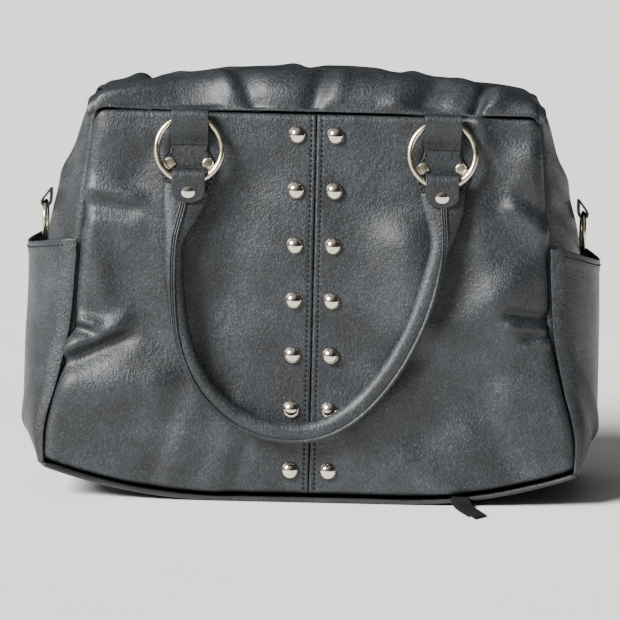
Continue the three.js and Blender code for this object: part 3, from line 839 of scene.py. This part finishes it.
def flap_points(columns, rows, seed, is_front):
    """One half of the top; folds are placed by x and by distance up the flap."""
    s = lerp(-1, 1, spread(columns, 0.6))[None, :]
    t = spread(rows, 0.35)[:, None]
    x = s * FLAP_HALF_WIDTH
    over = np.clip((np.abs(x) - FLAP_END_FROM) / (FLAP_HALF_WIDTH - FLAP_END_FROM), 0, 1)
    drop = FLAP_END_DROP * (1 - np.sqrt(np.maximum(1 - (over * 0.97) ** 2, 0)))
    flat_x = np.sign(x) * np.minimum(np.abs(x), FLAP_SEAM_TO)
    zip_line = TOP_SEAM_Z + RIDGE_RISE - zip_fall(flat_x)
    rim = front_ridge(x) if is_front else zip_line - 5 * MM
    room = hump(np.abs(x), RING_X, 28 * MM)  # for the rings, when they are raised
    y = bezier(t, TOP_DEPTH + 0.2 * MM, TOP_DEPTH + (1 - 9 * room) * MM, (56 - 30 * room) * MM, 4 * MM)
    seam = top_edge(flat_x) + 1 * MM
    z = bezier(t, seam, seam + 7 * MM, rim + 12 * MM, zip_line - ZIP_DROP)
    y = y + 0 * x
    points = np.stack([x + 0 * t, -y, z - drop], axis=-1)
    up = t * 60 * MM + 0 * x
    soft = wavy(points, 0.05, seed) * 1.8 * MM + wavy(points, 0.018, seed + 2) * 0.5 * MM
    bulge = folded(points[..., 0], up, TOP_FOLDS) + soft
    hold = smooth(t / 0.15) * smooth((1 - t) / 0.2)
    points[..., 2] += bulge * hold * lerp(0.35, 1, smooth((1 - t) / 0.6))
    points[..., 1] -= bulge * hold * (1 - t)
    return points


def make_flap(name, tape_name, turn, seed):
    sign = np.array([turn, turn, 1])
    points = flap_points(220, 60, seed, turn > 0) * sign
    flap = leaf(f"{name}_leather", points, BODY_LEATHER, edge=0)
    flap.modifiers["thickness"].use_even_offset = False
    attach(flap, name, name)
    make_zip_tape(name, tape_name, sign)


TAPE_HALF_LENGTH = 130 * MM
TOOTH_PITCH = 2.6 * MM
TOOTH_ROW = 250 * MM
TOOTH_FACES = [(0, 3, 2, 1), (4, 5, 6, 7), (0, 1, 5, 4), (1, 2, 6, 5), (2, 3, 7, 6), (3, 0, 4, 7)]


def make_zip_tape(body, tape_name, sign):
    x = np.linspace(-1, 1, 160)[None, :] * TAPE_HALF_LENGTH
    y = np.array([-14, -10, -6, -3, -0.5])[:, None] * MM
    z = ZIP_Z - LEATHER - 0.5 * MM - zip_fall(x) + 0 * y
    points = np.stack([x + 0 * y, y + 0 * x, z], axis=-1) * sign
    tape = leaf(f"{tape_name}_cloth", points, ZIP_CLOTH, thickness=0.8 * MM, edge=0)
    attach(tape, body, tape_name)
    vertices, faces = [], []
    shift = 0.0 if sign[0] > 0 else TOOTH_PITCH / 2
    for i in range(int(TOOTH_ROW / TOOTH_PITCH)):
        centre = -TOOTH_ROW / 2 + i * TOOTH_PITCH + shift
        foot = ZIP_Z - LEATHER - 0.5 * MM - float(zip_fall(np.array(centre)))
        first = len(vertices)
        for along, across, up in tooth_corners():
            vertices.append((centre + along, across * sign[1], foot + up))
        faces += [tuple(first + k for k in face) for face in TOOTH_FACES]
    teeth = add_object(f"{tape_name}_teeth", vertices, faces, SATIN, smooth_shaded=False)
    attach(teeth, body)


def tooth_corners():
    half, top = 0.75 * MM, 0.5 * MM
    low = [(-half, -3.2 * MM), (half, -3.2 * MM), (half, 0.6 * MM), (-half, 0.6 * MM)]
    high = [(-top, -2.9 * MM), (top, -2.9 * MM), (top, 0.3 * MM), (-top, 0.3 * MM)]
    return [(a, b, 0.0) for a, b in low] + [(a, b, 1.9 * MM) for a, b in high]


def dress_zip_slider():
    for node in ("zip_slider", "zip_pull"):
        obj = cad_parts[node]
        soft = obj.modifiers.new("soft_edges", "BEVEL")
        soft.width = 0.35 * MM
        soft.segments = 3
        obj.data.materials.clear()
        obj.data.materials.append(SATIN)


# ---- studs and rivets

STUD_OUTLINE = [(5.9, 0.0), (5.95, 0.3), (5.75, 0.75), (5.2, 1.7), (4.4, 2.6), (3.4, 3.3), (2.3, 3.85),
                (1.1, 4.12), (0, 4.2)]
RIVET_OUTLINE = [(4.0, 0.0), (4.05, 0.5), (3.9, 0.95), (3.5, 1.2), (2.4, 1.32), (1.2, 1.38), (0, 1.4)]
CAP_OUTLINE = [(5.5, 0.0), (5.55, 0.5), (5.3, 1.0), (4.7, 1.55), (3.6, 2.1), (2.2, 2.45), (1.0, 2.57),
               (0, 2.6)]


def metres(outline):
    return [(radius * MM, height * MM) for radius, height in outline]


def centre_of(node):
    low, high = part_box(node)
    return [(a + b) / 2 for a, b in zip(low, high)]


def make_studs():
    for column in ("left", "right"):
        for row in range(1, 8):
            node = f"stud_{column}_{row}"
            x, _, z = centre_of(node)
            foot = front_point(x, z, -0.3 * MM)
            stud = revolve(f"{node}_dome", metres(STUD_OUTLINE), foot, front_normal(x, z), POLISHED)
            attach(stud, "bag", node)


# ---- ring loops, patches and handles

PATCH_LENGTH = 71 * MM
patch_half_width = profile([(0, 12), (300, 13), (460, 18.5), (600, 16), (1000, 1)])


def make_patch(prefix, label, x, turn):
    top = ring_end(prefix, label, turn, 1)[2] - 1 * MM
    u = np.linspace(-1, 1, 25)[None, :]
    v = spread(70, 0.4)[:, None]
    half = patch_half_width(v)
    px = x + u * half
    pz = top - PATCH_LENGTH * v + 0 * u
    edge = np.minimum((1 - np.abs(u)) * half, 5 * MM)
    unevenness = wavy(np.stack([px, pz, 0 * px], -1), 0.02, 31) * 0.3 * MM
    lift = 2.1 * MM - rolled(edge, 1.4 * MM) * 0.8 + unevenness
    points = mirrored(front_point(px, pz, lift), turn)
    patch = leaf(f"{prefix}_patch_{label}_leather", points[::-1], TRIM_LEATHER, thickness=1.8 * MM, edge=0)
    attach(patch, "bag", f"{prefix}_patch_{label}")
    for side in (-1, 1):
        t = np.linspace(0.28, 0.93, 60)
        sx = x + side * np.maximum(patch_half_width(t) - 2.0 * MM, 0.2 * MM)
        path = mirrored(front_point(sx, top - PATCH_LENGTH * t, 2.15 * MM), turn)
        sew(f"{prefix}_patch_stitches_{label}_{'a' if side < 0 else 'b'}", path, (0, -turn, 0))


def ring_circle(prefix, label, turn):
    """A handle ring's centre, radius and upward direction, from the CAD ring's box."""
    low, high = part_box(f"{prefix}_ring_{label}")
    radius = (high[0] - low[0]) / 2 - RING_WIRE
    up = np.array([0, turn * math.sin(RING_TILT), math.cos(RING_TILT)])
    return np.array(centre_of(f"{prefix}_ring_{label}")), radius, up


def ring_end(prefix, label, turn, way):
    """The top (way is 1) or the foot (-1) of a handle ring's tilted circle."""
    centre, radius, up = ring_circle(prefix, label, turn)
    return centre + way * radius * up


def strap(name, path, half_width, axis, turn, thickness=1.7 * MM, columns=19):
    """A leather strip: path is (outward, up) pairs about its axis, wide by half_width(0 to 1)."""
    path = np.asarray(path, float) * MM
    steps = np.linalg.norm(np.diff(path, axis=0), axis=1)
    run = np.concatenate([[0], np.cumsum(steps)]) / steps.sum()
    t = np.linspace(0, 1, 90)
    outward = smooth_through(run, path[:, 0], t)
    up = smooth_through(run, path[:, 1], t)
    u = np.linspace(-1, 1, columns)[None, :]
    local = np.stack([u * half_width(t)[:, None], outward[:, None] + 0 * u, up[:, None] + 0 * u], axis=-1)
    return leaf(name, on_panel(local, axis, turn), TRIM_LEATHER, thickness=thickness, edge=0.45 * MM)


# Side view of a ring loop, (outward, up) from the ring's axis: up the back, over the wire, down the front.
LOOP_PATH = [(-3.2, -18), (-3.2, -7), (-3.2, -0.5), (-2.4, 2.3), (0.3, 3.5), (2.9, 2.4), (3.9, -0.6),
             (3.6, -5), (2.4, -10), (0.6, -15), (-0.4, -18.6)]
LOOP_HALF_WIDTH = 12.2 * MM

# Side view of a handle's end tab, from the ring's lower wire: up the back, over the wire, down the front.
TAB_PATH = [(-3.8, -13), (-4.2, -6), (-4.3, 1), (-3.4, 5), (-0.4, 7.3), (2.8, 6), (4.3, 2), (4.9, -3),
            (4.9, -8), (4.6, -12.2)]
TAB_HALF_WIDTH = 10.8 * MM
RIVET_ON_TAB = (0, 4.9 * MM, -4.4 * MM)


def loop_half_width(t):
    return np.full_like(t, LOOP_HALF_WIDTH)


def make_loop(prefix, label, turn):
    axis = ring_end(prefix, label, turn, 1)
    loop = strap(f"{prefix}_loop_{label}_leather", LOOP_PATH, loop_half_width, axis, turn)
    attach(loop, "bag", f"{prefix}_loop_{label}")
    across = np.linspace(-1, 1, 20) * (LOOP_HALF_WIDTH - 1.2 * MM)
    local = np.stack([across, np.full(20, 0.2 * MM), np.full(20, -16.8 * MM)], axis=-1)
    sew(f"{prefix}_loop_stitches_{label}", on_panel(local, axis, turn), (0, -turn, 0))


def make_ring(prefix, label, turn):
    node = f"{prefix}_ring_{label}"
    centre, radius, up = ring_circle(prefix, label, turn)
    ring = torus(f"{node}_wire", centre, radius, RING_WIRE, (1, 0, 0), up, SATIN)
    attach(ring, f"{prefix}_rings", node)


# The middle of the handle: x and z on the front and its distance in front of it, in millimetres.
HANDLE_ROUTE = [
    (-83.8, 208, 8.6), (-86, 196, 9.4), (-91, 172, 10.5), (-89.5, 140, 11), (-83.5, 107, 11.5),
    (-71, 81, 11.5), (-52, 62, 11.5), (-30, 52, 12), (-5, 50, 12), (15, 56, 12), (35, 71, 11.5),
    (53.5, 95, 11.5), (68, 124, 11), (78.5, 157, 10.5), (83.5, 180, 10), (84, 196, 9.4), (83.4, 208, 8.6),
]
HANDLE_HALF_WIDTH, HANDLE_END_HALF_WIDTH = 6.0 * MM, 14.5 * MM
HANDLE_HALF_THICKNESS, HANDLE_END_HALF_THICKNESS = 5.2 * MM, 2.4 * MM
HANDLE_FLARE = 44 * MM  # the length over which each end widens and flattens


def handle_line(count):
    route = np.array(HANDLE_ROUTE, float)
    points = front_point(route[:, 0] * MM, route[:, 1] * MM, route[:, 2] * MM)
    steps = np.linalg.norm(np.diff(points, axis=0), axis=1)
    run = np.concatenate([[0], np.cumsum(steps)])
    at = np.linspace(0, run[-1], count)
    line = np.stack([smooth_through(run, points[:, k], at) for k in range(3)], axis=-1)
    return line, at, run[-1]


def handle_frames(line):
    """At each place: the direction away from the panel, and the outward side of the U."""
    along = np.gradient(line, axis=0)
    along /= np.linalg.norm(along, axis=1, keepdims=True)
    toward_viewer = np.array([0.0, -1.0, 0.0])
    outer = np.cross(along, toward_viewer)
    outer /= np.linalg.norm(outer, axis=1, keepdims=True)
    front = np.cross(outer, along)
    front /= np.linalg.norm(front, axis=1, keepdims=True)
    return along, outer, front


def make_handle(prefix, turn):
    line, at, total = handle_line(420)
    along, outer, front = handle_frames(line)
    from_end = np.minimum(at, total - at)
    flare = 1 - smooth(from_end / HANDLE_FLARE)
    wide = lerp(HANDLE_HALF_WIDTH, HANDLE_END_HALF_WIDTH, flare)
    thick = lerp(HANDLE_HALF_THICKNESS, HANDLE_END_HALF_THICKNESS, flare)
    sides = 36
    angle = np.linspace(0, 2 * math.pi, sides, endpoint=False)[None, :]
    cos, sin = np.cos(angle), np.sin(angle)
    pucker = handle_puckers(at, total)[:, None] * np.clip(-cos, 0, 1) ** 1.2 * np.clip(sin + 0.8, 0, 1)
    reach_out = wide[:, None] * cos - pucker * cos
    reach_front = thick[:, None] * sin + pucker * sin * 0.5
    outward = outer[:, None, :] * reach_out[..., None]
    points = line[:, None, :] + outward + front[:, None, :] * reach_front[..., None]
    vertices = mirrored(points.reshape(-1, 3), turn)
    tube = add_object(f"{prefix}_handle_leather", vertices, tube_faces(len(line), sides), BODY_LEATHER)
    attach(tube, f"{prefix}_handle", f"{prefix}_handle")
    make_handle_edge(prefix, turn, line, outer, front, wide, thick, at / total)


def handle_puckers(at, total):
    """Small gathers on the inner side, where the handle bends at the lower left."""
    return hump(at / total, 0.36, 0.1) * 0.55 * MM * np.sin(at / (2.1 * MM)) ** 2


# Where the handle's seam faces along its length: 90 is straight at the viewer, 0 is round the outside.
SEAM_FACING = [(0, 90), (0.1, 86), (0.2, 66), (0.36, 34), (0.5, 20), (0.8, 26), (0.88, 48), (0.94, 84),
               (1, 90)]
EDGE_LAYERS = (-1.5, 0.0, 1.5)  # how far each raw edge of the seam lies from its middle, in millimetres


def make_handle_edge(prefix, turn, line, outer, front, wide, thick, at):
    """The raw edges of the handle's seam: layers side by side, down the front then round the outside."""
    facing = np.array(SEAM_FACING, float)
    swing = np.radians(smooth_through(facing[:, 0], facing[:, 1], at))
    out, up = np.cos(swing)[:, None], np.sin(swing)[:, None]
    root = line + outer * wide[:, None] * out + front * thick[:, None] * up
    ray = outer * out + front * up
    side = front * out - outer * up
    half, foot, top = 0.62 * MM, -1.2 * MM, 1.3 * MM
    corners = [(-half, foot), (-half, top - 0.35 * MM), (-half * 0.6, top), (half * 0.6, top),
               (half, top - 0.35 * MM), (half, foot)]
    for number, shift in enumerate(EDGE_LAYERS):
        points = np.stack([root + side * (shift * MM + a) + ray * b for a, b in corners], axis=1)
        material = TRIM_LEATHER if number == 1 else BODY_LEATHER
        edge = add_object(f"{prefix}_handle_edge_{number + 1}", mirrored(points.reshape(-1, 3), turn),
                          tube_faces(*points.shape[:2]), material)
        attach(edge, f"{prefix}_handle")


def tab_half_width(t):
    """A U shape: straight over the wire, rounded at both tips."""
    from_tip = np.minimum(t, 1 - t) / 0.17
    return TAB_HALF_WIDTH * np.sqrt(np.maximum(1 - (1 - np.clip(from_tip, 0, 1)) ** 2, 0.02))


def make_tab(prefix, label, turn):
    axis = ring_end(prefix, label, turn, -1)
    tab = strap(f"{prefix}_handle_tab_{label}", TAB_PATH, tab_half_width, axis, turn,
                thickness=1.9 * MM, columns=25)
    attach(tab, f"{prefix}_handle")
    foot = on_panel(np.array(RIVET_ON_TAB), axis, turn)
    outward = (0, -turn * math.cos(PANEL_LEAN), math.sin(PANEL_LEAN))
    cap = revolve(f"{prefix}_handle_rivet_{label}_cap", metres(CAP_OUTLINE), foot, outward, POLISHED)
    attach(cap, f"{prefix}_handle", f"{prefix}_handle_rivet_{label}")


def make_patch_rivets(prefix, label, turn):
    for end in ("a", "b"):
        node = f"{prefix}_patch_rivet_{label}_{end}"
        x, _, z = centre_of(node)
        foot = mirrored(front_point(x * turn, z, 2.1 * MM), turn)
        outward = front_normal(x * turn, z)
        outward = (outward[0] * turn, outward[1] * turn, outward[2])
        rivet = revolve(f"{node}_cap", metres(RIVET_OUTLINE), foot, outward, SATIN)
        attach(rivet, "bag", node)


def make_handle_side(prefix, turn):
    for label in ("left", "right"):
        x = centre_of(f"{prefix}_ring_{label}")[0] * turn
        make_patch(prefix, label, x, turn)
        make_loop(prefix, label, turn)
        make_ring(prefix, label, turn)
        make_patch_rivets(prefix, label, turn)
        make_tab(prefix, label, turn)
    make_handle(prefix, turn)


# ---- strap rings on the sides

STRAP_LOOP_PATH = [(-4.2, -9), (-4.2, -3), (-3.2, 2.2), (0, 3.5), (2.8, 2.2), (3.2, -1), (0.6, -5),
                   (-2.4, -9)]


def make_strap_ring(side, label):
    node = f"strap_ring_{label}"
    low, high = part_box(node)
    centre = centre_of(node)
    radius = (high[1] - low[1]) / 2 - STRAP_RING_WIRE
    ring = torus(f"{node}_wire", centre, radius, STRAP_RING_WIRE, (0, 1, 0), (0, 0, 1), SATIN,
                 segments=64, sides=16)
    attach(ring, node, node)
    path = np.asarray(STRAP_LOOP_PATH, float) * MM
    run = np.linspace(0, 1, len(path))
    t = np.linspace(0, 1, 50)
    outward = smooth_through(run, path[:, 0], t)
    up = smooth_through(run, -path[:, 1], t)
    across = np.linspace(-6.4, 6.4, 11)[None, :] * MM
    points = np.stack([centre[0] + side * (outward[:, None] + 0 * across), across + 0 * t[:, None],
                       high[2] - STRAP_RING_WIRE + up[:, None] + 0 * across], axis=-1)
    if side > 0:
        points = points[:, ::-1]
    tab = leaf(f"strap_tab_{label}_leather", points[::-1], TRIM_LEATHER, thickness=1.5 * MM, edge=0.3 * MM)
    attach(tab, "bag", f"strap_tab_{label}")


# ---- stage, lights and camera


def make_stage():
    """A large, pale floor."""
    reach = (-FLOOR_REACH, FLOOR_REACH)
    corners = [(x, y, -0.2 * MM) for y in reach for x in reach]
    floor = add_object("floor", corners, grid_faces(2, 2), pale_paint("pale_floor"))


def make_key():
    """Window light from the upper left, in front of the bag."""
    light = bpy.data.lights.new("window_key", "SUN")
    light.energy = KEY_STRENGTH
    light.angle = KEY_SIZE
    light.color = (1.0, 0.998, 0.99)
    obj = bpy.data.objects.new("window_key", light)
    obj.rotation_euler = (-Vector(KEY_FROM)).to_track_quat("-Z", "Y").to_euler()
    bpy.context.scene.collection.objects.link(obj)


def make_sky():
    """Bright towards the window, up and to the left, and dim on the other side of the room."""
    world = bpy.data.worlds.new("studio")
    world.use_nodes = True
    tree = world.node_tree
    toward = tree.nodes.new("ShaderNodeVectorMath")
    toward.operation = "DOT_PRODUCT"
    tree.links.new(tree.nodes.new("ShaderNodeTexCoord").outputs["Generated"], toward.inputs[0])
    toward.inputs[1].default_value = Vector(WINDOW_FROM).normalized()
    half = tree.nodes.new("ShaderNodeMath")
    half.operation = "MULTIPLY_ADD"
    tree.links.new(toward.outputs["Value"], half.inputs[0])
    half.inputs[1].default_value = 0.5
    half.inputs[2].default_value = 0.5
    sky = ramp(tree, half.outputs["Value"], [(0.35, (0.05, 0.045, 0.04)), (0.72, 0.12), (0.9, 1.0)])
    tree.links.new(sky, tree.nodes["Background"].inputs["Color"])
    tree.nodes["Background"].inputs["Strength"].default_value = SKY_STRENGTH
    bpy.context.scene.world = world


def make_camera():
    camera = bpy.data.cameras.new("camera")
    camera.sensor_width = SENSOR
    camera.lens = SENSOR * CAMERA_DISTANCE / VIEW_WIDTH
    obj = bpy.data.objects.new("camera", camera)
    back = Vector((0, -math.cos(CAMERA_ELEVATION), math.sin(CAMERA_ELEVATION)))
    turn = (-back).to_track_quat("-Z", "Y").to_matrix()
    roll = Matrix.Rotation(CAMERA_ROLL, 3, "Z")
    place = Vector(CAMERA_TARGET) + back * CAMERA_DISTANCE
    obj.matrix_world = Matrix.Translation(place) @ (turn @ roll).to_4x4()
    bpy.context.scene.collection.objects.link(obj)
    bpy.context.scene.camera = obj


# ---- the bag

make_camera()
make_stage()
make_key()
make_sky()
make_panels()
sew_centre_seam()
for side, label in ((-1, "left"), (1, "right")):
    make_gusset(side, label)
    make_pocket(side, label)
    make_strap_ring(side, label)
make_base()
make_lining()
ribbon_layers = make_ribbon()
make_flap("top_flap_front", "zip_tape_front", 1, 41)
make_flap("top_flap_back", "zip_tape_back", -1, 47)
dress_zip_slider()
make_studs()
make_handle_side("front", 1)
make_handle_side("back", -1)
